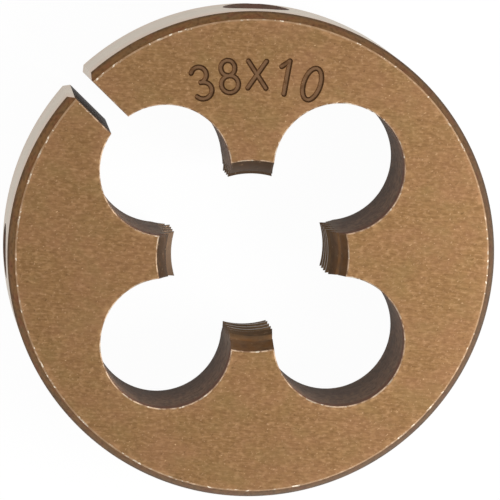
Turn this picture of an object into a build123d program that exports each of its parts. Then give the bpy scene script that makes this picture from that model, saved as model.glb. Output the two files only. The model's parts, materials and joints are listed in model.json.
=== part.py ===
from build123d import *
import os
from math import ceil, radians, tan

# Split round threading die, in millimetres.
# It lies flat with its lower face on z = 0 and its marked face up, and the thread runs along Z.
# The origin is on the thread axis, in the plane of the lower face.

# Blank
blank_diameter = 38.0
blank_thickness = 10.0
rim_chamfer_width = 0.62
rim_chamfer_height = 1.05

# Right-hand thread that the die cuts
thread_major_diameter = 14.0
thread_pitch = 1.5
flank_angle = 60.0

# Tapered start of the cutting teeth, the same on both faces
lead_in_mouth_diameter = 15.0
lead_in_half_angle = 30.0

# Chip holes, which part the thread into cutting lands
chip_hole_count = 4
chip_hole_diameter = 10.2
chip_hole_circle_diameter = 19.1
first_chip_hole_angle = 45.0

# Slot through the rim into one chip hole, with a bevelled mouth for the spreading screw.
# Slot and mouth have these widths at the marked face, and narrow alike towards the lower face.
slot_angle = 135.0
slot_width = 1.86
slot_mouth_width = 2.8
slot_mouth_angle = 90.0
slot_width_below = 1.4

# Conical seats in the rim for the two closing screws of the holder, each drilled to its own depth.
# They sit below mid-thickness, so the screws draw the die down onto its seat.
top_seat_angle = 87.6
top_seat_mouth_diameter = 5.6
left_seat_angle = 180.3
left_seat_mouth_diameter = 4.6
screw_seat_cone_angle = 90.0
screw_seat_offset = 1.2

# How far each cut runs past the surface that it opens
overrun = 1.0
groove_overrun = 0.08

# Share of the way between two chip holes that one groove stretch spans, past both sides of its land
groove_reach = 0.75

# Worked out from the sizes above
blank_radius = blank_diameter / 2
root_radius = thread_major_diameter / 2
root_flat = thread_pitch / 8
sharp_thread_height = thread_pitch / 2 / tan(radians(flank_angle / 2))
crest_radius = root_radius - sharp_thread_height * 5 / 8
lead_in_mouth_radius = lead_in_mouth_diameter / 2
lead_in_slope = tan(radians(lead_in_half_angle))
lead_in_depth = (lead_in_mouth_radius - crest_radius) / lead_in_slope
land_spacing = 360 / chip_hole_count


def make_blank():
    """The turned disc: half its section, bevelled at both rims, spun about the axis.

    The section starts its turn where the slot comes, so that the rim stays one unbroken face.
    """
    face_radius = blank_radius - rim_chamfer_width
    half_section = Polyline(
        (0, 0),
        (face_radius, 0),
        (blank_radius, rim_chamfer_height),
        (blank_radius, blank_thickness - rim_chamfer_height),
        (face_radius, blank_thickness),
        (0, blank_thickness),
        close=True,
    )
    disc = revolve(Plane.XZ * make_face(half_section), Axis.Z)
    return Rot(0, 0, slot_angle) * disc


def make_core():
    """What the thread's drill and the two lead-in countersinks take out.

    The section starts its turn inside a chip hole, so that no seam runs down a land.
    """
    over_radius = lead_in_mouth_radius + overrun * lead_in_slope
    half_section = Polyline(
        (0, -overrun),
        (over_radius, -overrun),
        (crest_radius, lead_in_depth),
        (crest_radius, blank_thickness - lead_in_depth),
        (over_radius, blank_thickness + overrun),
        (0, blank_thickness + overrun),
        close=True,
    )
    core = revolve(Plane.XZ * make_face(half_section), Axis.Z)
    return Rot(0, 0, first_chip_hole_angle) * core


def make_chip_holes():
    """The round chip holes, evenly spaced on one circle."""
    drill = Cylinder(
        chip_hole_diameter / 2,
        blank_thickness + 2 * overrun,
        align=(Align.CENTER, Align.CENTER, Align.MIN),
    )
    spots = PolarLocations(chip_hole_circle_diameter / 2, chip_hole_count, first_chip_hole_angle)
    return [Pos(0, 0, -overrun) * spot * drill for spot in spots]


def make_groove_stretch():
    """One stretch of the thread's groove, centred on +X at height 0.

    Its section is a V with a flat root, swept along the helix from one chip hole to the next.
    """
    inner_radius = crest_radius - groove_overrun
    half_mouth = root_flat / 2 + (root_radius - inner_radius) * tan(radians(flank_angle / 2))
    section = Polyline(
        (inner_radius, -half_mouth),
        (root_radius, -root_flat / 2),
        (root_radius, root_flat / 2),
        (inner_radius, half_mouth),
        close=True,
    )
    groove_arc = land_spacing * groove_reach
    rise = thread_pitch * groove_arc / 360
    helix = Helix(pitch=thread_pitch, height=rise, radius=crest_radius)
    stretch = sweep(Plane.XZ * make_face(section), path=helix, is_frenet=True)
    return Rot(0, 0, -groove_arc / 2) * Pos(0, 0, -rise / 2) * stretch


def make_thread_grooves():
    """The whole thread: the same stretch on each land, once a turn, climbing with the helix."""
    stretch = make_groove_stretch()
    grooves = []
    for land in range(chip_hole_count):
        land_angle = first_chip_hole_angle + land_spacing * (land + 0.5)
        for turn in range(-1, ceil(blank_thickness / thread_pitch)):
            height = thread_pitch * (turn + land_angle / 360)
            grooves.append(Rot(0, 0, land_angle) * Pos(0, 0, height) * stretch)
    return grooves


def make_slot_outline(height):
    """The slot and its mouth at one height, drawn along +X."""
    lean = (slot_width - slot_width_below) / 2 / blank_thickness
    half_width = slot_width / 2 - lean * (blank_thickness - height)
    inner_end = chip_hole_circle_diameter / 2
    outer_end = blank_radius + overrun
    bevel_slope = tan(radians(slot_mouth_angle / 2))
    bevel_start = blank_radius - (slot_mouth_width - slot_width) / 2 / bevel_slope
    half_outer = half_width + (outer_end - bevel_start) * bevel_slope
    outline = Polyline(
        (inner_end, -half_width),
        (bevel_start, -half_width),
        (outer_end, -half_outer),
        (outer_end, half_outer),
        (bevel_start, half_width),
        (inner_end, half_width),
        close=True,
    )
    return Pos(0, 0, height) * make_face(outline)


def make_slot():
    """The sawn slot with its bevelled mouth, wider at the marked face, turned to its angle."""
    outlines = [make_slot_outline(-overrun), make_slot_outline(blank_thickness + overrun)]
    return Rot(0, 0, slot_angle) * loft(outlines, ruled=True)


def make_screw_seat(angle, mouth_diameter):
    """A cone sunk into the rim at one angle."""
    slope = tan(radians(screw_seat_cone_angle / 2))
    mouth_radius = mouth_diameter / 2
    depth = mouth_radius / slope
    cone = Cone(
        0,
        mouth_radius + overrun * slope,
        depth + overrun,
        align=(Align.CENTER, Align.CENTER, Align.MIN),
    )
    height = blank_thickness / 2 - screw_seat_offset
    return Rot(0, 0, angle) * Pos(blank_radius - depth, 0, height) * Rot(0, 90, 0) * cone


def make_screw_seats():
    """The two seats, one on each side of the slot."""
    return [
        make_screw_seat(top_seat_angle, top_seat_mouth_diameter),
        make_screw_seat(left_seat_angle, left_seat_mouth_diameter),
    ]


def make_die():
    """The die, cut from one blank: holes first, so that the thread meets the lands alone."""
    body = make_blank() - make_core() - make_chip_holes() - make_slot() - make_screw_seats()
    return body - make_thread_grooves()


die = make_die()
os.makedirs("parts", exist_ok=True)
export_step(die, "parts/threading_die.step")
print("crest diameter", round(2 * crest_radius, 3), "lead-in depth", round(lead_in_depth, 3))
print("solids", len(die.solids()), "volume", round(die.volume, 2))
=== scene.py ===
# %% [markdown]
# # A split threading die
#
# A round die cuts an outside thread. This one is a disc of tool steel with a threaded hole in its middle,
# four round chip holes that part the thread into cutting lands, and one slot that lets the disc spring.
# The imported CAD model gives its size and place. This lesson makes the same disc again with the small marks
# of its making: broken edges, brushed oxide, a ground rim and a stamped size.

# %% Load the frame
import json
from math import cos, radians, sin, sqrt, tan

import bmesh
import bpy
from mathutils import Matrix, Vector


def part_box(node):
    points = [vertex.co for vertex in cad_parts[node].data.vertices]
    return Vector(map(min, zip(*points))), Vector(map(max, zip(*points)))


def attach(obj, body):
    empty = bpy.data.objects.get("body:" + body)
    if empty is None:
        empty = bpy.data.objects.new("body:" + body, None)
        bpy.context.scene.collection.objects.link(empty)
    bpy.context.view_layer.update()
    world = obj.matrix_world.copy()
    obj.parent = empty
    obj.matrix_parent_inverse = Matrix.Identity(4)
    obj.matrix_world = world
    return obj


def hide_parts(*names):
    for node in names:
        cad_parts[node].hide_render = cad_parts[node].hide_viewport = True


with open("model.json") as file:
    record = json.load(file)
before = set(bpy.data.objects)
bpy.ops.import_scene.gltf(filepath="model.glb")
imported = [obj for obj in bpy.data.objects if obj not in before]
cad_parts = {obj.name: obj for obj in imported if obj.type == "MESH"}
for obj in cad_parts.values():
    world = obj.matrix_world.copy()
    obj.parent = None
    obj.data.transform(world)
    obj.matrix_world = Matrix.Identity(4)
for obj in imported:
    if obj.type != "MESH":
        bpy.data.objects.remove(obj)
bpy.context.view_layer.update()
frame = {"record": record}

# %% [markdown]
# ## Sizes
#
# Everything is in metres in the model's own frame, with the thread along Z and the marked face up. What the
# imported record states is read from it. The other sizes are listed in millimetres, but for the broken edges,
# which are drawn about twice as wide as real ones so that they show.

# %% Sizes
MM = 0.001
mounts = {mount["name"]: mount["dims"] for mount in frame["record"]["mounts"]}
die_low, die_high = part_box("threading_die")

sizes = {
    "Thickness": die_high[2] - die_low[2],
    "Rim Radius": mounts["rim"]["r_mm"] * MM,
    "Rim Length": mounts["rim"]["length_mm"] * MM,
    "Bevel Width": 0.62 * MM,
    "Crest Radius": mounts["thread"]["r_mm"] * MM,
    "Crest Length": mounts["thread"]["length_mm"] * MM,
    "Mouth Radius": 7.5 * MM,
    "Root Radius": 7.0 * MM,
    "Pitch": 1.5 * MM,
    "Chip Hole Radius": 5.1 * MM,
    "Chip Hole Place": 9.55 * MM,
    "Slot Width": 1.86 * MM,
    "Slot Mouth": 2.8 * MM,
    "Slot Below": 1.4 * MM,
    "Top Seat": mounts["closing_screw_seat_top"]["r_mm"] * MM,
    "Left Seat": mounts["closing_screw_seat_left"]["r_mm"] * MM,
    "Seat Offset": 1.2 * MM,
    "Worn Edge": 0.09 * MM,
    "Rim Edge": 0.052 * MM,
    "Overrun": 1.0 * MM,
}
angles = {
    "Slot Angle": radians(135),
    "Hole Angle": radians(45),
    "Top Seat Angle": radians(87.6),
    "Left Seat Angle": radians(180.3),
}
for name, length in sizes.items():
    print(f"{name:18} {length / MM:7.3f} mm")

# %% [markdown]
# ## A few helpers
#
# Colours are written as sRGB hex, as a colour picker shows them, and Blender's sockets want linear light.
# One function adds a node with its settings and links, which keeps each tree as short as its idea. Another
# opens a node group whose inputs have names, so that the trees below read like drawings. The last one marks
# faces with the number of their finish, because a face that is cut keeps such a number through every cut.

# %% Helpers
def linear(hex_colour):
    """An sRGB colour such as 'A07C52' as linear RGBA."""
    channels = [int(hex_colour[i:i + 2], 16) / 255 for i in (0, 2, 4)]
    return [c / 12.92 if c <= 0.04045 else ((c + 0.055) / 1.055) ** 2.4 for c in channels] + [1.0]


def feed(tree, node, key, value):
    """Gives an input, by name or number, a value, or links it to a socket or a node's first output."""
    named = [s for s in node.inputs if s.name == key and s.enabled]
    socket = named[0] if named else node.inputs[key]
    if isinstance(value, bpy.types.Node):
        value = next(s for s in value.outputs if s.enabled)
    if isinstance(value, bpy.types.NodeSocket):
        tree.links.new(value, socket)
    else:
        socket.default_value = value


def add(tree, kind, inputs=None, **settings):
    """Adds one node: settings are its properties, and inputs are values, sockets or nodes to link."""
    made = tree.nodes.new(kind)
    for name, value in settings.items():
        setattr(made, name, value)
    for key, value in (inputs or {}).items():
        feed(tree, made, key, value)
    return made


def open_group(name, **inputs):
    """A new geometry node group with these inputs, and the node that hands them out."""
    tree = bpy.data.node_groups.new(name, "GeometryNodeTree")
    for label, kind in inputs.items():
        tree.interface.new_socket(label.replace("_", " "), in_out="INPUT", socket_type="NodeSocket" + kind)
    tree.interface.new_socket("Geometry", in_out="OUTPUT", socket_type="NodeSocketGeometry")
    return tree, tree.nodes.new("NodeGroupInput").outputs


def mark(tree, geometry, finish, selection=True):
    """Writes the number of a finish on the chosen faces, from where it is read when all cuts are made."""
    wanted = {"Geometry": geometry, "Selection": selection, "Name": "finish", "Value": finish}
    return add(tree, "GeometryNodeStoreNamedAttribute", wanted, data_type="INT", domain="FACE")


print("helpers ready")

# %% [markdown]
# ## A turned form
#
# The blank, the tapped core and each chip hole are all turned: a section spun about an axis, the same above
# and below the middle of the disc. A curve that runs up the axis does this well. Each of its six stations
# has a height and a radius, and Curve to Mesh sweeps a unit circle along it at that radius. The three pairs
# of values are the end of the form, its shoulder and its waist, counted from the outside to the middle.

# %% The turned form
form_parts = ("End", "Shoulder", "Waist")
form_labels = [f"{part} {measure}" for part in form_parts for measure in ("Radius", "Height")]
turned, given = open_group(
    "turned_form", Middle="Float", **dict.fromkeys(form_labels, "Float"), Segments="Int", Finish="Int"
)
stations = 6
last = stations - 1
index = add(turned, "GeometryNodeInputIndex")
from_top = add(turned, "ShaderNodeMath", {0: last, 1: index}, operation="SUBTRACT")
station = add(turned, "ShaderNodeMath", {0: index, 1: from_top}, operation="MINIMUM")
from_middle = add(turned, "ShaderNodeMath", {0: index, 1: last / 2}, operation="SUBTRACT")
side = add(turned, "ShaderNodeMath", {0: from_middle}, operation="SIGN")
picked = {}
for measure in ("Radius", "Height"):
    pick = add(turned, "GeometryNodeIndexSwitch", {"Index": station}, data_type="FLOAT")
    pick.index_switch_items.new()
    for place, part in enumerate(form_parts):
        turned.links.new(given[f"{part} {measure}"], pick.inputs[place + 1])
    picked[measure] = pick
rise = {0: side, 1: picked["Height"], 2: given["Middle"]}
rise = add(turned, "ShaderNodeMath", rise, operation="MULTIPLY_ADD")
spot = add(turned, "ShaderNodeCombineXYZ", {"Z": rise})
line = add(turned, "GeometryNodeMeshLine", {"Count": stations}, mode="OFFSET")
axis = add(turned, "GeometryNodeSetPosition", {"Geometry": line, "Position": spot})
axis_curve = add(turned, "GeometryNodeMeshToCurve", {"Mesh": axis})
circle = add(turned, "GeometryNodeCurvePrimitiveCircle", {"Resolution": given["Segments"], "Radius": 1.0})
spun = add(
    turned,
    "GeometryNodeCurveToMesh",
    {"Curve": axis_curve, "Profile Curve": circle, "Scale": picked["Radius"], "Fill Caps": True},
)
finished = mark(turned, spun, given["Finish"])
add(turned, "NodeGroupOutput", {"Geometry": finished})
print("turned_form:", len(turned.nodes), "nodes")

# %% [markdown]
# ## The tap
#
# The thread is one groove that climbs its pitch with every turn. A Spiral curve with equal radii is that
# helix, and Reverse makes it right-handed. Its normals are set to Z Up, so that the groove's section, a V of
# 60 degrees with a flat root of an eighth of the pitch, stays upright all the way round. The groove starts a
# little inside the crests and is longer than the disc is thick, as the lead-in cones decide where the teeth
# begin.

# %% The tap
tap, given = open_group(
    "tap", Thickness="Float", Crest_Radius="Float", Root_Radius="Float", Pitch="Float", Finish="Int"
)
tooth_slope = tan(radians(30))
root_flat = 1 / 8
inward = 0.08 * MM
helix_steps = 96
turns = add(tap, "ShaderNodeMath", {0: given["Thickness"], 1: given["Pitch"]}, operation="DIVIDE")
turns = add(tap, "ShaderNodeMath", {0: turns, 1: 2.0}, operation="ADD")
length = add(tap, "ShaderNodeMath", {0: turns, 1: given["Pitch"]}, operation="MULTIPLY")
helix = add(
    tap,
    "GeometryNodeCurveSpiral",
    {
        "Resolution": helix_steps,
        "Rotations": turns,
        "Start Radius": given["Crest Radius"],
        "End Radius": given["Crest Radius"],
        "Height": length,
        "Reverse": True,
    },
)
upright = add(tap, "GeometryNodeSetCurveNormal", {"Curve": helix}, mode="Z_UP")
start = add(tap, "ShaderNodeMath", {0: given["Pitch"], 1: -1.0}, operation="MULTIPLY")
start = add(tap, "ShaderNodeCombineXYZ", {"Z": start})
lowered = add(tap, "GeometryNodeTransform", {"Geometry": upright, "Translation": start})
depth = add(tap, "ShaderNodeMath", {0: given["Root Radius"], 1: given["Crest Radius"]}, operation="SUBTRACT")
root_half = add(tap, "ShaderNodeMath", {0: given["Pitch"], 1: root_flat / 2}, operation="MULTIPLY")
full_depth = add(tap, "ShaderNodeMath", {0: depth, 1: inward}, operation="ADD")
mouth_half = add(
    tap, "ShaderNodeMath", {0: full_depth, 1: tooth_slope, 2: root_half}, operation="MULTIPLY_ADD"
)
corners = []
for reach, half in ((-inward, mouth_half), (depth, root_half)):
    low = add(tap, "ShaderNodeMath", {0: half, 1: -1.0}, operation="MULTIPLY")
    corners.append([add(tap, "ShaderNodeCombineXYZ", {"X": reach, "Y": end}) for end in (low, half)])
near, far = corners
around = {"Point 1": near[0], "Point 2": far[0], "Point 3": far[1], "Point 4": near[1]}
section = add(tap, "GeometryNodeCurvePrimitiveQuadrilateral", around, mode="POINTS")
groove = add(
    tap, "GeometryNodeCurveToMesh", {"Curve": lowered, "Profile Curve": section, "Fill Caps": True}
)
finished = mark(tap, groove, given["Finish"])
add(tap, "NodeGroupOutput", {"Geometry": finished})
print("tap:", len(tap.nodes), "nodes")

# %% [markdown]
# ## The saw
#
# The slot is sawn through the rim into one chip hole, and both of its walls lean in towards the lower face. A
# block one metre wide is the blade, and one Set Position node squeezes it to the slot's width at each height.

# %% The blade
saw, given = open_group(
    "saw",
    Thickness="Float",
    Rim_Radius="Float",
    Start="Float",
    Slot_Width="Float",
    Slot_Below="Float",
    Slot_Mouth="Float",
    Worn_Edge="Float",
    Overrun="Float",
    Angle="Float",
    Wall="Int",
    Mouth="Int",
)
middle = add(saw, "ShaderNodeMath", {0: given["Thickness"], 1: 0.5}, operation="MULTIPLY")
end = add(saw, "ShaderNodeMath", {0: given["Rim Radius"], 1: given["Overrun"]}, operation="ADD")
reach = add(saw, "ShaderNodeMath", {0: end, 1: given["Start"]}, operation="SUBTRACT")
centre = add(saw, "ShaderNodeMath", {0: end, 1: given["Start"]}, operation="ADD")
centre = add(saw, "ShaderNodeMath", {0: centre, 1: 0.5}, operation="MULTIPLY")
height = add(
    saw, "ShaderNodeMath", {0: given["Overrun"], 1: 2.0, 2: given["Thickness"]}, operation="MULTIPLY_ADD"
)
lean = add(saw, "ShaderNodeMath", {0: given["Slot Width"], 1: given["Slot Below"]}, operation="SUBTRACT")
lean = add(saw, "ShaderNodeMath", {0: lean, 1: given["Thickness"]}, operation="DIVIDE")
block = add(saw, "ShaderNodeCombineXYZ", {"X": reach, "Y": 1.0, "Z": height})
block = add(saw, "GeometryNodeMeshCube", {"Size": block})
spot = add(saw, "GeometryNodeInputPosition")
spot = add(saw, "ShaderNodeSeparateXYZ", {"Vector": spot}).outputs
from_top = add(saw, "ShaderNodeMath", {0: spot["Z"], 1: middle}, operation="SUBTRACT")
width = add(
    saw, "ShaderNodeMath", {0: from_top, 1: lean, 2: given["Slot Width"]}, operation="MULTIPLY_ADD"
)
squeezed = add(saw, "ShaderNodeMath", {0: spot["Y"], 1: width}, operation="MULTIPLY")
leaning = add(saw, "ShaderNodeCombineXYZ", {"X": spot["X"], "Y": squeezed, "Z": spot["Z"]})
blade = add(saw, "GeometryNodeSetPosition", {"Geometry": block, "Position": leaning})
blade_place = add(saw, "ShaderNodeCombineXYZ", {"X": centre, "Z": middle})
blade = add(saw, "GeometryNodeTransform", {"Geometry": blade, "Translation": blade_place})
blade = mark(saw, blade, given["Wall"])
print("blade:", len(saw.nodes), "nodes")

# %% [markdown]
# ### The slot's mouth and its broken edges
#
# The spreading screw sits in a bevelled mouth. A cone with four sides cuts it, because that is a square bar
# on its edge that tapers just as the blade does. The broken edges along the slot slope by 45 degrees too, so
# a square bar lying in each face cuts them, half a diagonal wide.

# %% The mouth and the broken edges
half_lean = add(saw, "ShaderNodeMath", {0: lean, 1: 0.5}, operation="MULTIPLY")
half_mouth = add(saw, "ShaderNodeMath", {0: given["Slot Mouth"], 1: 0.5}, operation="MULTIPLY")
mouth_high = add(
    saw, "ShaderNodeMath", {0: half_lean, 1: given["Overrun"], 2: half_mouth}, operation="MULTIPLY_ADD"
)
narrowed = add(saw, "ShaderNodeMath", {0: half_lean, 1: height}, operation="MULTIPLY")
mouth_low = add(saw, "ShaderNodeMath", {0: mouth_high, 1: narrowed}, operation="SUBTRACT")
mouth_bar = add(
    saw,
    "GeometryNodeMeshCone",
    {"Vertices": 4, "Radius Top": mouth_high, "Radius Bottom": mouth_low, "Depth": height},
)
below = add(saw, "ShaderNodeMath", {0: given["Overrun"], 1: -1.0}, operation="MULTIPLY")
mouth_place = add(saw, "ShaderNodeCombineXYZ", {"X": given["Rim Radius"], "Z": below})
mouth_bar = add(saw, "GeometryNodeTransform", {"Geometry": mouth_bar, "Translation": mouth_place})
mouth_bar = mark(saw, mouth_bar, given["Mouth"])

pieces = [blade, mouth_bar]
for face_width, level in ((given["Slot Width"], given["Thickness"]), (given["Slot Below"], 0.0)):
    wide = add(
        saw, "ShaderNodeMath", {0: given["Worn Edge"], 1: 2.0, 2: face_width}, operation="MULTIPLY_ADD"
    )
    edge_side = add(saw, "ShaderNodeMath", {0: wide, 1: sqrt(0.5)}, operation="MULTIPLY")
    edge_bar = add(saw, "ShaderNodeCombineXYZ", {"X": reach, "Y": edge_side, "Z": edge_side})
    edge_bar = add(saw, "GeometryNodeMeshCube", {"Size": edge_bar})
    edge_place = add(saw, "ShaderNodeCombineXYZ", {"X": centre, "Z": level})
    edge_bar = add(
        saw,
        "GeometryNodeTransform",
        {"Geometry": edge_bar, "Translation": edge_place, "Rotation": (radians(45), 0, 0)},
    )
    pieces.append(mark(saw, edge_bar, given["Wall"]))
tools = add(saw, "GeometryNodeGeometryToInstance")
for piece in pieces:
    saw.links.new(piece.outputs[0], tools.inputs[0])
turn = add(saw, "ShaderNodeCombineXYZ", {"Z": given["Angle"]})
turned_tools = add(saw, "GeometryNodeTransform", {"Geometry": tools, "Rotation": turn})
add(saw, "NodeGroupOutput", {"Geometry": turned_tools})
print("saw:", len(saw.nodes), "nodes")

# %% [markdown]
# ## A screw seat
#
# Two cone-pointed screws of the holder press on the rim, a little behind its middle, and each has a conical
# seat of 90 degrees, so its cone is as wide as it is deep. The seats were drilled to slightly different
# depths. One group makes a cone on its side at any angle, and the main tree uses it twice.

# %% A screw seat
seat, given = open_group(
    "screw_seat",
    Thickness="Float",
    Rim_Radius="Float",
    Seat_Radius="Float",
    Seat_Offset="Float",
    Overrun="Float",
    Angle="Float",
    Finish="Int",
)
seat_sides = 96
wide = add(seat, "ShaderNodeMath", {0: given["Seat Radius"], 1: given["Overrun"]}, operation="ADD")
cone = add(
    seat,
    "GeometryNodeMeshCone",
    {"Vertices": seat_sides, "Radius Top": wide, "Radius Bottom": 0.0, "Depth": wide},
)
half_height = add(seat, "ShaderNodeMath", {0: given["Thickness"], 1: 0.5}, operation="MULTIPLY")
height = add(seat, "ShaderNodeMath", {0: half_height, 1: given["Seat Offset"]}, operation="SUBTRACT")
tip = add(seat, "ShaderNodeMath", {0: given["Rim Radius"], 1: given["Seat Radius"]}, operation="SUBTRACT")
tip_place = add(seat, "ShaderNodeCombineXYZ", {"X": tip, "Z": height})
lying = add(
    seat,
    "GeometryNodeTransform",
    {"Geometry": cone, "Translation": tip_place, "Rotation": (0, radians(90), 0)},
)
turn = add(seat, "ShaderNodeCombineXYZ", {"Z": given["Angle"]})
placed = add(seat, "GeometryNodeTransform", {"Geometry": lying, "Rotation": turn})
finished = mark(seat, placed, given["Finish"])
add(seat, "NodeGroupOutput", {"Geometry": finished})
print("screw_seat:", len(seat.nodes), "nodes")

# %% [markdown]
# ## The stamp's strokes
#
# A size is stamped between the rim and the bore: here the blank's own diameter and thickness, 38 by 10, in
# strokes of one width with round ends. Each stroke is a path of points, in units of the glyph's height, laid
# out on an arc about the die's axis. Paths keep the glyphs plain and their strokes even, which a font's
# outlines would not.

# %% The stamp's strokes
stroke_half = 0.22 * MM
stroke_depth = 0.11 * MM
glyph_height = 2.6 * MM
mark_radius = 14.15 * MM
same_point = 1e-6


def arc(centre_x, centre_y, radius_x, radius_y, start, end, steps):
    """Points on an ellipse, in glyph units, from one angle to another in degrees."""
    bearings = [radians(start + (end - start) * step / steps) for step in range(steps + 1)]
    return [(centre_x + radius_x * cos(b), centre_y + radius_y * sin(b)) for b in bearings]


glyphs = {
    "three": [arc(0.0, 0.235, 0.23, 0.235, 150, -90, 16), arc(0.0, -0.25, 0.26, 0.25, 90, -150, 16)],
    "eight": [arc(0.0, 0.25, 0.21, 0.23, 0, 360, 20), arc(0.0, -0.235, 0.255, 0.255, 0, 360, 20)],
    "times": [[(-0.27, -0.4), (0.27, 0.4)], [(-0.27, 0.4), (0.27, -0.4)]],
    "one": [[(-0.17, 0.3), (0.04, 0.5)], [(0.04, 0.5), (0.04, -0.5)]],
    "nought": [arc(0.0, 0.0, 0.25, 0.49, 0, 360, 28)],
}
glyph_angles = {"three": 106.5, "eight": 97.5, "times": 88.6, "one": 79.6, "nought": 71.0}

points, edges = [], []
for name, angle in glyph_angles.items():
    middle_point = Vector((0, mark_radius, 0))
    turn_about_axis = Matrix.Rotation(radians(angle - 90), 3, "Z")
    for path in glyphs[name]:
        closed = (Vector(path[0]) - Vector(path[-1])).length < same_point
        kept = path[:-1] if closed else path
        first = len(points)
        for x, y in kept:
            points.append(turn_about_axis @ (middle_point + glyph_height * Vector((x, y, 0))))
        edges += [(first + step, first + step + 1) for step in range(len(kept) - 1)]
        if closed:
            edges.append((first + len(kept) - 1, first))
stroke_mesh = bpy.data.meshes.new("stamp_strokes")
stroke_mesh.from_pydata(points, edges, [])
strokes = bpy.data.objects.new("stamp_strokes", stroke_mesh)
bpy.context.scene.collection.objects.link(strokes)
print("stamp strokes:", len(points), "points")

# %% [markdown]
# ## The stamp
#
# A stamp's stroke is a groove with a flat floor and sloping walls. The tree sweeps a trapezoid along every
# path and sets a blunt cone on each of its points, so that ends and corners come out round. Strokes cross, so
# each swept path becomes an instance of its own, which the Boolean takes as a tool of its own. All tools rise
# a little above the face so that they cut it cleanly.

# %% The stamp
stamp, given = open_group(
    "stamp", Strokes="Object", Thickness="Float", Half_Width="Float", Depth="Float", Finish="Int"
)
lift = 0.05 * MM
floor_share = 0.42
dot_sides = 24
paths = add(stamp, "GeometryNodeObjectInfo", {"Object": given["Strokes"]})
top = add(stamp, "ShaderNodeCombineXYZ", {"Z": given["Thickness"]})
raised = add(stamp, "GeometryNodeTransform", {"Geometry": paths.outputs["Geometry"], "Translation": top})
curve = add(stamp, "GeometryNodeMeshToCurve", {"Mesh": raised})
curve = add(stamp, "GeometryNodeSetCurveNormal", {"Curve": curve}, mode="Z_UP")
bottom_half = add(stamp, "ShaderNodeMath", {0: given["Half Width"], 1: floor_share}, operation="MULTIPLY")
wall = add(stamp, "ShaderNodeMath", {0: given["Half Width"], 1: bottom_half}, operation="SUBTRACT")
wall_slope = add(stamp, "ShaderNodeMath", {0: wall, 1: given["Depth"]}, operation="DIVIDE")
top_half = add(
    stamp, "ShaderNodeMath", {0: wall_slope, 1: lift, 2: given["Half Width"]}, operation="MULTIPLY_ADD"
)
bottom = add(stamp, "ShaderNodeMath", {0: given["Depth"], 1: -1.0}, operation="MULTIPLY")
corners = []
for half, below in ((top_half, -lift), (bottom_half, given["Depth"])):
    other = add(stamp, "ShaderNodeMath", {0: half, 1: -1.0}, operation="MULTIPLY")
    corners.append([add(stamp, "ShaderNodeCombineXYZ", {"X": x, "Y": below}) for x in (half, other)])
near, far = corners
around = {"Point 1": near[0], "Point 2": far[0], "Point 3": far[1], "Point 4": near[1]}
section = add(stamp, "GeometryNodeCurvePrimitiveQuadrilateral", around, mode="POINTS")
swept = add(stamp, "GeometryNodeCurveToMesh", {"Curve": curve, "Profile Curve": section, "Fill Caps": True})
island = add(stamp, "GeometryNodeInputMeshIsland")
single = add(stamp, "GeometryNodeSplitToInstances", {"Geometry": swept, "Group ID": island}, domain="FACE")
full = add(stamp, "ShaderNodeMath", {0: given["Depth"], 1: lift}, operation="ADD")
dot = add(
    stamp,
    "GeometryNodeMeshCone",
    {"Vertices": dot_sides, "Radius Top": top_half, "Radius Bottom": bottom_half, "Depth": full},
)
sink = add(stamp, "ShaderNodeCombineXYZ", {"Z": bottom})
dot = add(stamp, "GeometryNodeTransform", {"Geometry": dot, "Translation": sink})
dots = add(stamp, "GeometryNodeInstanceOnPoints", {"Points": raised, "Instance": dot})
tools = add(stamp, "GeometryNodeJoinGeometry", {"Geometry": single.outputs["Instances"]})
stamp.links.new(dots.outputs[0], tools.inputs[0])
cutters = mark(stamp, tools, given["Finish"])
add(stamp, "NodeGroupOutput", {"Geometry": cutters})
print("stamp:", len(stamp.nodes), "nodes")

# %% [markdown]
# ## Places on the die
#
# Wear, stains and light oxide lie where the die was handled, ground or cut, so the finishes need to know
# where they are. This small shader group turns object coordinates into four lengths in millimetres: the
# height above the lower face, the distance from the thread axis, the distance from the nearest chip hole's
# axis, and how far a place lies from the thread axis towards the slot.

# %% Places on the die
places = bpy.data.node_groups.new("die_places", "ShaderNodeTree")
for label in ("Height", "Radius", "From Hole", "Slotwards"):
    places.interface.new_socket(label, in_out="OUTPUT", socket_type="NodeSocketFloat")
spot = add(places, "ShaderNodeTexCoord").outputs["Object"]
spot = add(places, "ShaderNodeVectorMath", {0: spot, 3: 1 / MM}, operation="SCALE")
spot = add(places, "ShaderNodeSeparateXYZ", {"Vector": spot}).outputs
flat = add(places, "ShaderNodeCombineXYZ", {"X": spot["X"], "Y": spot["Y"]})
radius = add(places, "ShaderNodeVectorMath", {0: flat}, operation="LENGTH")
hole_place = sizes["Chip Hole Place"] / MM * sqrt(0.5)
quarter = add(places, "ShaderNodeVectorMath", {0: flat}, operation="ABSOLUTE")
from_hole = add(
    places, "ShaderNodeVectorMath", {0: quarter, 1: (hole_place, hole_place, 0)}, operation="DISTANCE"
)
slot_way = (cos(angles["Slot Angle"]), sin(angles["Slot Angle"]), 0)
slotwards = add(places, "ShaderNodeVectorMath", {0: flat, 1: slot_way}, operation="DOT_PRODUCT")
lengths = {"Height": spot["Z"], "Radius": radius, "From Hole": from_hole, "Slotwards": slotwards}
add(places, "NodeGroupOutput", lengths)
print("die_places:", len(places.nodes), "nodes")

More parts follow.
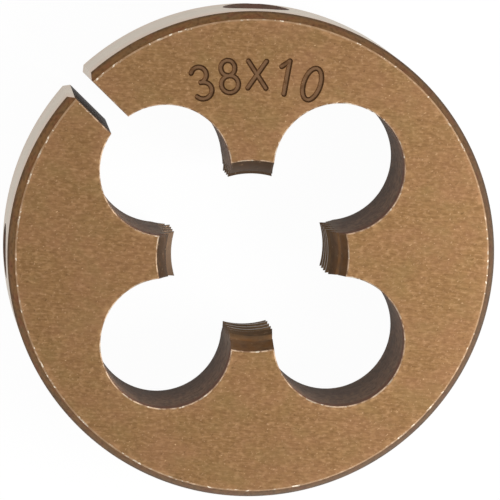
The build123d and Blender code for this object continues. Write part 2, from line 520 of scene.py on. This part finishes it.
# %% [markdown]
# ## A finish in layers
#
# Every finish is built the same way: a ground colour, and layers of noise laid over it like glazes. Each row
# of a finish's table is one layer. Its first entry is the length, width and height of one mark in
# millimetres. A Mapping node of the Texture kind divides by it, and turns the marks by the second entry, in
# degrees. A mark that is long in X and Y and thin in Z becomes a turning line around the axis, and one that
# is thin in X and Y and long in Z becomes a streak down a wall. Then come the noise's detail, the values
# between which the layer fades in, its strength and its colour. The last entry keeps the layer near a place:
# of each of the lengths above, it gives the one where the layer ends and the one where it is full. Each
# layer's noise is moved one step on from the last, so that no two layers draw the same marks.
#
# Bare steel and the thin bronze oxide are metals. The thick oxide in the holes, the slot and the seats is
# matt, and a metal seen along its length would be a white mirror there, so it is no metal and hardly shines.
# The thread and the broken edges lie between the two.

# %% A finish in layers
STEP = (0.0131, 0.0072, 0.0053)
RELIEF_STRENGTH = 0.3
anywhere = {}


def layered_finish(
    name, ground, layers, roughness=0.45, metallic=1.0, gloss=0.5, edge_tint="FFFFFF", relief=0.0
):
    """A ground colour with glazes. The first layer also carries the relief, in millimetres."""
    material = bpy.data.materials.new(name)
    material.use_nodes = True
    tree = material.node_tree
    shader = tree.nodes["Principled BSDF"]
    shader.inputs["Metallic"].default_value = metallic
    shader.inputs["Roughness"].default_value = roughness
    shader.inputs["Specular IOR Level"].default_value = gloss
    shader.inputs["Specular Tint"].default_value = linear(edge_tint)
    spot = add(tree, "ShaderNodeTexCoord").outputs["Object"]
    where = add(tree, "ShaderNodeGroup", node_tree=places).outputs
    colour = linear(ground)
    for number, (mark_size, turn, detail, (start, end), strength, hue, near) in enumerate(layers):
        layout = {
            "Vector": spot,
            "Location": [(number + 1) * step for step in STEP],
            "Rotation": (0, 0, radians(turn)),
            "Scale": [length * MM for length in mark_size],
        }
        spread = add(tree, "ShaderNodeMapping", layout, vector_type="TEXTURE")
        pattern = add(tree, "ShaderNodeTexNoise", {"Vector": spread, "Scale": 1.0, "Detail": detail})
        fade = {"Value": pattern, "From Min": start, "From Max": end, "To Max": strength}
        amount = add(tree, "ShaderNodeMapRange", fade)
        for place, (none, full) in near.items():
            close = {"Value": where[place], "From Min": none, "From Max": full}
            close = add(tree, "ShaderNodeMapRange", close)
            amount = add(tree, "ShaderNodeMath", {0: amount, 1: close}, operation="MULTIPLY")
        glaze = {"Factor": amount, "A": colour, "B": linear(hue)}
        colour = add(tree, "ShaderNodeMix", glaze, data_type="RGBA")
        if number == 0 and relief:
            bumps = {"Height": pattern, "Strength": RELIEF_STRENGTH, "Distance": relief * MM}
            feed(tree, shader, "Normal", add(tree, "ShaderNodeBump", bumps))
    feed(tree, shader, "Base Color", colour)
    print(f"{name}: {len(layers)} layers, {len(tree.nodes)} nodes")
    return material


finishes = {}

# %% [markdown]
# ### Brushed bronze oxide, on both faces
#
# The faces were ground, so they carry short fine scratches that all run one way, and then heated in steam,
# which leaves a bronze oxide. The eye gets a warm, half-dull metal with a fine grain, cloudy where the oxide
# is thicker and a little red or green in places, with a few dark pits and a few bright nicks. A real scratch
# is far under a tenth of a millimetre wide, too fine to show, so these are drawn as wide as one that shows.
# Around the chip holes and along the rim the oxide is rubbed thinner.

# %% Brushed bronze oxide
around_holes = {"From Hole": (5.75, 5.2)}
along_rim = {"Radius": (17.9, 18.4)}
finishes["Face"] = layered_finish(
    "brushed_bronze_oxide",
    "7A5B3B",
    [
        ((0.7, 0.11, 1.0), -7, 3, (0.33, 0.67), 0.52, "9B7852", anywhere),
        ((0.34, 0.22, 1.0), -20, 2, (0.4, 0.7), 0.45, "664A2F", anywhere),
        ((0.42, 0.26, 1.0), 0, 2, (0.5, 0.72), 0.42, "AC8864", anywhere),
        ((1.5, 0.14, 1.0), -4, 1, (0.6, 0.7), 0.3, "674A2E", anywhere),
        ((3.6, 2.4, 3.0), 20, 3, (0.42, 0.66), 0.25, "90664E", anywhere),
        ((2.6, 1.8, 3.0), -30, 3, (0.48, 0.68), 0.25, "7C6942", anywhere),
        ((0.26, 0.2, 0.3), 35, 1, (0.72, 0.78), 0.5, "503A24", anywhere),
        ((0.22, 0.16, 0.3), 40, 1, (0.66, 0.74), 0.4, "BC9A78", anywhere),
        ((0.34, 0.15, 0.3), 28, 1, (0.75, 0.81), 0.5, "D9B48C", anywhere),
        ((0.6, 0.6, 1.0), 0, 1, (0.45, 0.7), 0.4, "B8936A", around_holes),
        ((0.8, 0.8, 1.0), 0, 1, (0.45, 0.7), 0.4, "B58A66", along_rim),
    ],
    roughness=0.42,
    relief=0.006,
)

# %% [markdown]
# ### Turned bronze oxide, on the rim's bevels
#
# The bevels were turned and never ground, so the steam oxide is thicker here. Their darker brown is partly
# that oxide and partly painted shade of the steep slope, with faint lines around the axis and patches that
# lean to red or green. A darker line runs along the outer edge, where grinding the rim has cut through the
# thick oxide.

# %% Turned bronze oxide
outer_edge = {"Radius": (18.8, 18.9)}
finishes["Bevel"] = layered_finish(
    "turned_bronze_oxide",
    # the dark ground is partly oxide and partly painted shade of the steep bevel
    "735130",
    [
        ((3.5, 3.5, 0.07), 0, 2, (0.35, 0.65), 0.45, "866440", anywhere),
        ((1.3, 1.3, 0.6), 0, 2, (0.45, 0.7), 0.6, "68533A", anywhere),
        ((0.9, 0.9, 0.5), 0, 2, (0.5, 0.7), 0.65, "74462E", anywhere),
        ((1.2, 1.2, 0.6), 0, 1, (0.25, 0.5), 0.6, "4C3A26", outer_edge),
        ((0.3, 0.3, 0.3), 0, 1, (0.45, 0.75), 0.5, "402A14", anywhere),
    ],
    roughness=0.36,
)

# %% [markdown]
# ### Ground steel, on the rim and at the slot's mouth
#
# The rim is ground after hardening, which takes the oxide off. It is bare tool steel: a pale, slightly warm
# grey with very fine lines around the axis. Along the upper edge beside the bevel lies a pinkish band that is
# partly a blush of oxide and partly a painted warm highlight, and a blush of oxide lies along the lower edge.
# The lines are drawn as coarse as they need to show.

# %% Ground steel
blush_and_highlight_at_top = {"Height": (6.3, 8.2)}
back_edge = {"Height": (3.2, 1.4)}
finishes["Rim"] = layered_finish(
    "ground_steel",
    "D0C8BF",
    [
        ((5.0, 5.0, 0.08), 0, 2, (0.35, 0.65), 0.4, "B8AEA3", anywhere),
        ((1.2, 1.2, 0.7), 0, 2, (0.4, 0.7), 0.4, "DAD3C9", anywhere),
        ((1.8, 1.8, 1.0), 0, 2, (0.4, 0.65), 0.35, "B8B8AC", anywhere),
        # pinkish band near the top: partly oxide blush, partly a painted warm highlight
        ((2.5, 2.5, 1.5), 0, 1, (0.2, 0.5), 0.6, "D4B8A8", blush_and_highlight_at_top),
        ((2.5, 2.5, 1.5), 0, 1, (0.2, 0.5), 0.4, "CDB4A4", back_edge),
    ],
    roughness=0.33,
    edge_tint="EAE2D8",
)

# %% [markdown]
# ### Rubbed steel on the broken edges
#
# Every sharp edge was broken by a hair, and use has rubbed the oxide off its high spots. The eye gets a thin
# bright line with gaps, where the brown comes back, and its near-white beads are painted glints. It is duller
# along the rim, which the holder's pocket guards. Real broken edges are about half as wide, too fine to show.

# %% Rubbed steel
guarded = {"Radius": (16.0, 18.0)}
finishes["Worn"] = layered_finish(
    "rubbed_steel_edge",
    "E6C6A6",
    [
        ((0.5, 0.5, 0.5), 0, 2, (0.42, 0.58), 0.88, "8A6545", anywhere),
        ((1.6, 1.6, 1.6), 0, 1, (0.45, 0.65), 0.5, "A8825E", anywhere),
        ((0.7, 0.7, 0.7), 0, 2, (0.25, 0.45), 0.85, "A07C58", guarded),
        ((0.9, 0.9, 0.9), 0, 2, (0.6, 0.64), 0.6, "D2C2AC", anywhere),
        # painted glints: near-white beads along the broken edges
        ((0.4, 0.4, 0.4), 0, 1, (0.64, 0.7), 0.9, "FFEFD8", anywhere),
    ],
    roughness=0.35,
    metallic=0.6,
)

# %% [markdown]
# ### Oxide on tapped steel, in the lead-in and the thread
#
# The teeth were cut with oil and never ground, so the same oxide lies over a rougher surface: dark brown with
# turning lines. It is warmer in the lead-in cones and darker at the crests. The lands beside the slot are
# painted darker still as shade. The surface has small glints where a groove catches the light.

# %% Oxide on tapped steel
under_mouth = {"Height": (7.4, 7.9), "Radius": (7.5, 7.2)}
near_crest = {"Radius": (6.75, 6.5)}
painted_shade_towards_slot = {"Slotwards": (-3.0, 3.0)}
finishes["Bore"] = layered_finish(
    "oxide_on_tapped_steel",
    "74583E",
    [
        ((2.0, 2.0, 0.09), 0, 2, (0.35, 0.65), 0.4, "866A4E", anywhere),
        ((0.5, 0.5, 0.4), 0, 2, (0.45, 0.7), 0.6, "4A3826", anywhere),
        ((1.5, 1.5, 1.0), 0, 1, (0.45, 0.7), 0.4, "62402A", anywhere),
        ((0.8, 0.8, 0.4), 0, 1, (0.3, 0.7), 0.9, "74502E", under_mouth),
        ((0.6, 0.6, 0.3), 0, 1, (0.1, 0.4), 0.6, "4C3C2A", near_crest),
        # painted shade: the lands on the slot's side are darkened
        ((1.0, 1.0, 0.5), 0, 1, (0.0, 0.4), 0.75, "3A2C20", painted_shade_towards_slot),
        ((0.28, 0.28, 0.14), 0, 0, (0.78, 0.84), 0.4, "B09474", anywhere),
    ],
    roughness=0.42,
    metallic=0.5,
    gloss=0.2,
    relief=0.006,
)

# %% [markdown]
# ### Oxide on drilled steel, on the chip holes' walls
#
# The chip holes are drilled and reamed. Cutting oil and steam have run down their walls, so the grey-brown
# oxide is mottled, with short streaks along the hole. A red-brown band lies just under the marked face. The
# wall is painted darker towards the far end, as shade deep in the hole, and a lighter grey beside the lands,
# as painted reflected light.

# %% Oxide on drilled steel
under_face = {"Height": (8.3, 9.1)}
painted_shade_deep_in_hole = {"Height": (6.5, 1.0)}
painted_light_beside_lands = {"Radius": (8.6, 7.0)}
finishes["Wall"] = layered_finish(
    "oxide_on_drilled_steel",
    "84664D",
    [
        ((0.35, 0.35, 2.4), 0, 2, (0.4, 0.65), 0.4, "503C2B", anywhere),
        ((0.6, 0.6, 1.0), 0, 2, (0.45, 0.62), 0.36, "94795F", anywhere),
        ((1.3, 1.3, 1.0), 0, 2, (0.45, 0.65), 0.4, "664330", anywhere),
        ((0.35, 0.35, 0.5), 0, 2, (0.48, 0.62), 0.4, "33261B", anywhere),
        # painted shade: darker deeper in the hole
        ((2.0, 2.0, 3.0), 0, 1, (0.2, 0.5), 0.6, "3A2A1C", painted_shade_deep_in_hole),
        # painted reflected light: lighter grey on the walls beside the lands
        ((1.2, 1.2, 2.0), 0, 1, (0.3, 0.6), 0.5, "A09280", painted_light_beside_lands),
        ((1.0, 1.0, 0.5), 0, 1, (0.15, 0.4), 0.8, "6C3C1E", under_face),
    ],
    roughness=0.6,
    metallic=0.0,
    gloss=0.05,
)

# %% [markdown]
# ### Oxide on sawn steel, inside the slot
#
# The slot is narrow and was sawn rough. Its walls are nearly black, with the saw's lines running along them,
# and a little lighter just under the face.

# %% Oxide on sawn steel
finishes["Sawn"] = layered_finish(
    "oxide_on_sawn_steel",
    "30241A",
    [
        ((3.0, 3.0, 0.12), 0, 2, (0.35, 0.65), 0.6, "4A3A2C", anywhere),
        ((0.4, 0.4, 0.4), 0, 2, (0.45, 0.7), 0.5, "1E1813", anywhere),
        ((1.2, 1.2, 0.5), 0, 1, (0.3, 0.5), 0.6, "5A4230", under_face),
    ],
    roughness=0.6,
    metallic=0.0,
    gloss=0.15,
)

# %% [markdown]
# ### Oxide in the screw seats
#
# The seats keep their oxide because only a screw's tip touches them: red-brown with fine marks of the drill,
# and nearly black towards the tip of the cone, where no light comes back.

# %% Oxide in the seats
deep_in_seat = {"Radius": (18.5, 17.3)}
finishes["Seat"] = layered_finish(
    "oxide_in_a_drilled_seat",
    "5C4436",
    [
        ((0.12, 0.12, 0.12), 0, 1, (0.35, 0.65), 0.4, "705446", anywhere),
        ((1.2, 1.2, 0.5), 0, 2, (0.45, 0.65), 0.7, "684638", anywhere),
        ((0.9, 0.9, 0.4), 0, 1, (0.45, 0.7), 0.6, "3C3024", anywhere),
        ((1.0, 1.0, 1.0), 0, 1, (0.0, 0.4), 0.85, "1C1410", deep_in_seat),
    ],
    roughness=0.55,
    metallic=0.0,
    gloss=0.2,
)

# %% [markdown]
# ### Oxide in the stamp
#
# The sloping walls of a stamp's strokes are painted dark, partly for the oxide that they hold and partly as
# painted shade, and the floors lighter, so each stroke reads as a light line between two dark ones. The floor
# lies a tenth of a millimetre down.

# %% Oxide in the stamp
floor_lighter_than_shaded_walls = {"Height": (9.93, 9.9)}
finishes["Stamped"] = layered_finish(
    "oxide_and_painted_shade_in_a_stamp",
    # painted shade: the dark ground stays on the stroke walls, and the floors are lighter
    "4A321E",
    [
        ((0.3, 0.3, 0.3), 0, 2, (0.4, 0.65), 0.4, "64462C", anywhere),
        ((0.5, 0.5, 0.5), 0, 1, (0.1, 0.5), 0.9, "6A503A", floor_lighter_than_shaded_walls),
    ],
    roughness=0.5,
)

# %% [markdown]
# ## Making the die
#
# The main tree works as the toolmaker does: it turns the blank, then takes away the core, the chip holes, the
# slot, the seats and the thread, and stamps it last. Its inputs are all the sizes, angles and finishes by
# name. A few sizes follow from others, and these are worked out first. The rim's broken edge lies at 45
# degrees, so the bevel's slope gives how far it reaches past the corner that it takes off. The blank, the
# core and the chip hole are three turned forms, with as many sides as each needs to look round.

# %% The die's tree
size_inputs = {name.replace(" ", "_"): "Float" for name in [*sizes, *angles]}
finish_inputs = {f"{name}_Finish": "Material" for name in finishes}
die_tree, given = open_group(
    "split_die",
    Strokes="Object",
    Stroke_Half_Width="Float",
    Stroke_Depth="Float",
    **size_inputs,
    **finish_inputs,
)
number = {name: place for place, name in enumerate(finishes)}
size = {socket.name: socket for socket in given}
bevel_slope = (sizes["Thickness"] - sizes["Rim Length"]) / 2 / sizes["Bevel Width"]
past_corner = 1 / (bevel_slope - 1)
lead_in_slope = tan(radians(30))
sums = {
    "Middle": ("MULTIPLY", "Thickness", 0.5),
    "Beyond": ("ADD", "Middle", "Overrun"),
    "Under Edge": ("SUBTRACT", "Middle", "Worn Edge"),
    "Rim Half": ("MULTIPLY", "Rim Length", 0.5),
    "Crest Half": ("MULTIPLY", "Crest Length", 0.5),
    "Face Radius": ("SUBTRACT", "Rim Radius", "Bevel Width"),
    "Inside Edge": ("SUBTRACT", "Face Radius", "Rim Edge"),
    "Bevel Start": ("MULTIPLY_ADD", "Rim Edge", past_corner, "Face Radius"),
    "Bevel Top": ("MULTIPLY_ADD", "Rim Edge", -1 - past_corner, "Middle"),
    "Flare": ("ADD", "Worn Edge", "Overrun"),
    "Mouth Flare": ("ADD", "Mouth Radius", "Flare"),
    "Mouth Edge": ("MULTIPLY_ADD", "Worn Edge", -lead_in_slope, "Mouth Radius"),
    "Hole Flare": ("ADD", "Chip Hole Radius", "Flare"),
}
for name, (operation, *values) in sums.items():
    terms = {place: size[value] if isinstance(value, str) else value for place, value in enumerate(values)}
    size[name] = add(die_tree, "ShaderNodeMath", terms, operation=operation)

turned_forms = {
    "blank": ("Inside Edge", "Middle", "Bevel Start", "Bevel Top", "Rim Radius", "Rim Half"),
    "core": ("Mouth Flare", "Beyond", "Mouth Edge", "Under Edge", "Crest Radius", "Crest Half"),
    "hole": ("Hole Flare", "Beyond", "Chip Hole Radius", "Under Edge", "Chip Hole Radius", "Crest Half"),
}
sides = {"blank": 288, "core": 192, "hole": 128}
finish_left = {"blank": "Rim", "core": "Bore", "hole": "Wall"}
form = {}
for name, measures in turned_forms.items():
    values = {label: size[measure] for label, measure in zip(form_labels, measures)}
    values |= {"Middle": size["Middle"], "Segments": sides[name], "Finish": number[finish_left[name]]}
    form[name] = add(die_tree, "GeometryNodeGroup", values, node_tree=turned)
print("turned forms:", list(form))

# %% [markdown]
# ### The other tools
#
# The tap, the saw, the seats' drill and the stamp are groups of their own. Each gets the sizes that it names,
# some of which go by another name here, and the number of the finish that it leaves on the steel. The four
# chip holes are one turned form on the points of a circle.

# %% The other tools
tools = {}
for tool, tree_of_tool, renamed, marked in (
    ("tap", tap, {}, {"Finish": "Bore"}),
    ("saw", saw, {"Start": "Chip Hole Place", "Angle": "Slot Angle"}, {"Wall": "Sawn", "Mouth": "Rim"}),
    ("top_seat", seat, {"Seat Radius": "Top Seat", "Angle": "Top Seat Angle"}, {"Finish": "Seat"}),
    ("left_seat", seat, {"Seat Radius": "Left Seat", "Angle": "Left Seat Angle"}, {"Finish": "Seat"}),
    ("stamp", stamp, {"Half Width": "Stroke Half Width", "Depth": "Stroke Depth"}, {"Finish": "Stamped"}),
):
    labels = [item.name for item in tree_of_tool.interface.items_tree if item.in_out == "INPUT"]
    values = {label: size[renamed.get(label, label)] for label in labels if label not in marked}
    values |= {label: number[name] for label, name in marked.items()}
    tools[tool] = add(die_tree, "GeometryNodeGroup", values, node_tree=tree_of_tool)

hole_points = add(die_tree, "GeometryNodeMeshCircle", {"Vertices": 4, "Radius": size["Chip Hole Place"]})
hole_turn = add(die_tree, "ShaderNodeCombineXYZ", {"Z": size["Hole Angle"]})
hole_points = add(die_tree, "GeometryNodeTransform", {"Geometry": hole_points, "Rotation": hole_turn})
holes = add(die_tree, "GeometryNodeInstanceOnPoints", {"Points": hole_points, "Instance": form["hole"]})
print("tools:", list(tools))

# %% [markdown]
# ### The cuts
#
# The height of a face's normal is one on the blank's level faces, nothing on its rim, and about a half on a
# bevel, which tells the three apart. Then Mesh Boolean takes the tools away. Its Manifold solver is quick and
# leaves a closed body, as long as each tool is closed and points outwards, and each tool leaves its finish
# number on the faces that it cut. The stamp comes last, because its many small cones are joined best on a
# body that is otherwise done.

# %% The cuts
steep_below, level_above = 0.2, 0.97
normal = add(die_tree, "GeometryNodeInputNormal")
normal = add(die_tree, "ShaderNodeSeparateXYZ", {"Vector": normal})
upright = add(die_tree, "ShaderNodeMath", {0: normal.outputs["Z"]}, operation="ABSOLUTE")
sloped = add(die_tree, "FunctionNodeCompare", {"A": upright, "B": steep_below}, operation="GREATER_THAN")
level = add(die_tree, "FunctionNodeCompare", {"A": upright, "B": level_above}, operation="GREATER_THAN")
blank = mark(die_tree, form["blank"], number["Bevel"], sloped)
blank = mark(die_tree, blank, number["Face"], level)

cuts = {"operation": "DIFFERENCE", "solver": "MANIFOLD"}
body = add(die_tree, "GeometryNodeMeshBoolean", {"Mesh 1": blank}, **cuts)
for cutter in (form["core"], holes, tools["saw"], tools["top_seat"], tools["left_seat"], tools["tap"]):
    feed(die_tree, body, "Mesh 2", cutter)
body = add(die_tree, "GeometryNodeMeshBoolean", {"Mesh 1": body, "Mesh 2": tools["stamp"]}, **cuts)
body = add(die_tree, "GeometryNodeRealizeInstances", {"Geometry": body})

# %% [markdown]
# ### The broken edges and the finishes
#
# All broken edges slope and lie within a hair of the two faces, so one selection finds them, and the stamp's
# walls are kept out of it. Faces are smooth except across corners of more than 28 degrees, which keeps the
# thread's flanks crisp. Only now does each finish number become a material, because the Boolean can mix up
# the materials of instanced tools but never their numbers.

# %% The broken edges and the finishes
spot = add(die_tree, "GeometryNodeInputPosition")
spot = add(die_tree, "ShaderNodeSeparateXYZ", {"Vector": spot})
from_middle = add(
    die_tree, "ShaderNodeMath", {0: spot.outputs["Z"], 1: size["Middle"]}, operation="SUBTRACT"
)
from_middle = add(die_tree, "ShaderNodeMath", {0: from_middle}, operation="ABSOLUTE")
near_face = add(
    die_tree, "FunctionNodeCompare", {"A": from_middle, "B": size["Under Edge"]}, operation="GREATER_THAN"
)
tilted = add(die_tree, "FunctionNodeCompare", {"A": upright, "B": level_above}, operation="LESS_THAN")
broken = add(die_tree, "FunctionNodeBooleanMath", {0: near_face, 1: tilted}, operation="AND")
finish_mark = add(die_tree, "GeometryNodeInputNamedAttribute", {"Name": "finish"}, data_type="INT")
stamped = add(
    die_tree,
    "FunctionNodeCompare",
    {"A": finish_mark, "B": number["Stamped"]},
    data_type="INT",
    operation="EQUAL",
)
sharp_angle = radians(28)
angle = add(die_tree, "GeometryNodeInputMeshEdgeAngle")
corner = add(die_tree, "FunctionNodeCompare", {"A": angle, "B": sharp_angle}, operation="GREATER_THAN")
round_face = add(die_tree, "FunctionNodeBooleanMath", {0: stamped}, operation="NOT")
body = add(
    die_tree, "GeometryNodeSetShadeSmooth", {"Geometry": body, "Shade Smooth": round_face}, domain="FACE"
)
body = add(
    die_tree,
    "GeometryNodeSetShadeSmooth",
    {"Geometry": body, "Selection": corner, "Shade Smooth": False},
    domain="EDGE",
)

worn = add(die_tree, "FunctionNodeBooleanMath", {0: broken, 1: stamped}, operation="NIMPLY")
body = mark(die_tree, body, number["Worn"], worn)
for name, place in number.items():
    chosen = add(
        die_tree, "FunctionNodeCompare", {"A": finish_mark, "B": place}, data_type="INT", operation="EQUAL"
    )
    dressed = {"Geometry": body, "Selection": chosen, "Material": size[name + " Finish"]}
    body = add(die_tree, "GeometryNodeSetMaterial", dressed)
add(die_tree, "NodeGroupOutput", {"Geometry": body})
print("split_die:", len(die_tree.nodes), "nodes")

# %% [markdown]
# ## The die as a plain mesh
#
# The modifier gets its sizes by each socket's identifier, before the object is first evaluated. Then
# new_from_object keeps the result as a plain mesh, and the modifier and the stroke paths are no longer
# needed. The die takes the place of the CAD node and rides on the same body.

# %% The die
die = bpy.data.objects.new("die_body", bpy.data.meshes.new("die_seed"))
bpy.context.scene.collection.objects.link(die)
settings = {
    "Strokes": strokes,
    "Stroke Half Width": stroke_half,
    "Stroke Depth": stroke_depth,
    **sizes,
    **angles,
    **{f"{name} Finish": material for name, material in finishes.items()},
}
worker = die.modifiers.new("split_die", "NODES")
worker.node_group = die_tree
for item in die_tree.interface.items_tree:
    if item.in_out == "INPUT":
        worker[item.identifier] = settings[item.name]
evaluated = die.evaluated_get(bpy.context.evaluated_depsgraph_get())
mesh = bpy.data.meshes.new_from_object(evaluated)
die.modifiers.clear()
die.data = mesh
mesh.name = "die_body"
mesh.attributes.remove(mesh.attributes["finish"])
for place in reversed(range(len(mesh.materials))):
    if mesh.materials[place] is None:
        mesh.materials.pop(index=place)
bpy.data.objects.remove(strokes)

measured = bmesh.new()
measured.from_mesh(mesh)
open_edges = sum(not edge.is_manifold for edge in measured.edges)
print("die:", len(mesh.polygons), "faces,", open_edges, "open edges")
print("volume in mm3:", round(measured.calc_volume() / MM**3, 1))
print("finishes:", [material.name for material in mesh.materials])
measured.free()

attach(die, "root")
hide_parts("threading_die")

# %% [markdown]
# ## The floor
#
# The die lies on plain white paper. The floor is one large square a hair below the die, so that the two never
# share a plane. What a camera or a reflection sees of it is nearly all an even glow, as an overlit studio
# floor gives, and the rest is matt paper that takes the die's soft shadow. Other light meets the matt paper
# alone, so the glow doesn't light the die from below.

# %% The floor
floor_half = 1.5
floor_drop = 0.02 * MM
glow_share = 0.97


def seen_straight(tree):
    """One for a ray that comes from the camera, a reflection or clear glass, and zero for any other."""
    path = add(tree, "ShaderNodeLightPath").outputs
    seen = add(tree, "ShaderNodeMath", {0: path["Is Camera Ray"], 1: path["Is Glossy Ray"]}, operation="ADD")
    terms = {0: seen, 1: path["Is Transmission Ray"]}
    return add(tree, "ShaderNodeMath", terms, operation="ADD", use_clamp=True)


floor_mesh = bpy.data.meshes.new("floor")
corners = [(x * floor_half, y * floor_half, -floor_drop) for x, y in ((-1, -1), (1, -1), (1, 1), (-1, 1))]
floor_mesh.from_pydata(corners, [], [(0, 1, 2, 3)])
floor = bpy.data.objects.new("floor", floor_mesh)
bpy.context.scene.collection.objects.link(floor)

paper = bpy.data.materials.new("white_paper")
paper.use_nodes = True
tree = paper.node_tree
tree.nodes.clear()
share = add(tree, "ShaderNodeMath", {0: seen_straight(tree), 1: glow_share}, operation="MULTIPLY")
matt = add(tree, "ShaderNodeBsdfDiffuse", {"Color": linear("F4F3F1")})
glow = add(tree, "ShaderNodeEmission", {"Color": linear("FFFFFF"), "Strength": 1.0})
blend = add(tree, "ShaderNodeMixShader", {0: share, 1: matt, 2: glow})
add(tree, "ShaderNodeOutputMaterial", {"Surface": blend})
floor_mesh.materials.append(paper)
print("floor:", 2 * floor_half, "m square")

# %% [markdown]
# ## The world
#
# The studio is white all round. A camera or a reflection sees it fully white, and it lights the die a little
# less than that, so that the oxide keeps its depth and the holes' walls stay dark.

# %% The world
fill_light = 0.7
world = bpy.data.worlds.new("studio")
bpy.context.scene.world = world
world.use_nodes = True
tree = world.node_tree
tree.nodes.clear()
levels = {"Value": seen_straight(tree), "To Min": fill_light, "To Max": 1.0}
strength = add(tree, "ShaderNodeMapRange", levels)
sky = add(tree, "ShaderNodeBackground", {"Color": linear("FFFFFF"), "Strength": strength})
add(tree, "ShaderNodeOutputWorld", {"Surface": sky})
print("world:", fill_light, "of white as fill light")

# %% [markdown]
# ## The lamp
#
# One round soft lamp stands low on the right. It makes the right half of the face a little lighter than the
# left, as the photograph shows, and leaves the walls that face the camera in soft shade. It is as wide as two
# thirds of its distance, so its shadows have no hard edge.

# %% The lamp
lamp_width = 0.12
lamp_watts = 0.42
lamp_place = (0.13, -0.035, 0.12)
lamp_data = bpy.data.lights.new("soft_lamp", "AREA")
lamp_data.shape = "DISK"
lamp_data.size = lamp_width
lamp_data.energy = lamp_watts
lamp = bpy.data.objects.new("soft_lamp", lamp_data)
lamp.location = lamp_place
lamp.rotation_euler = lamp.location.to_track_quat("Z", "Y").to_euler()
bpy.context.scene.collection.objects.link(lamp)
print("lamp:", round(lamp.location.length, 3), "m from the die")

# %% [markdown]
# ## The camera
#
# The picture was taken from almost straight above and from well away, so the lens is long and the view tilts
# by little over eight degrees. It tilts towards the slot, which shows the rim at the upper left and the walls
# at the lower right of each hole. The camera looks along its own -Z, and its X and Y are built so that the
# model's Y points up in the picture. The distance, tilt, target and lens were fitted to the outlines of the
# rim, the face and the chip holes.

# %% The camera
camera_distance = 449.84 * MM
camera_tilt = radians(8.414)
camera_azimuth = radians(125.76)
target = Vector((0.216, -0.095, 5.0)) * MM
sensor_width, focal_length = 36.0, 412.87
across = sin(camera_tilt)
direction = Vector((across * cos(camera_azimuth), across * sin(camera_azimuth), cos(camera_tilt)))
camera_data = bpy.data.cameras.new("camera")
camera_data.sensor_width = sensor_width
camera_data.lens = focal_length
camera = bpy.data.objects.new("camera", camera_data)
to_right = Vector((0, 1, 0)).cross(direction).normalized()
to_top = direction.cross(to_right)
axes = Matrix((to_right, to_top, direction)).transposed()
camera.matrix_world = Matrix.Translation(target + camera_distance * direction) @ axes.to_4x4()
bpy.context.scene.collection.objects.link(camera)
bpy.context.scene.camera = camera
bpy.context.scene.view_settings.view_transform = "Standard"
print("camera:", round(camera_distance / MM, 1), "mm away")
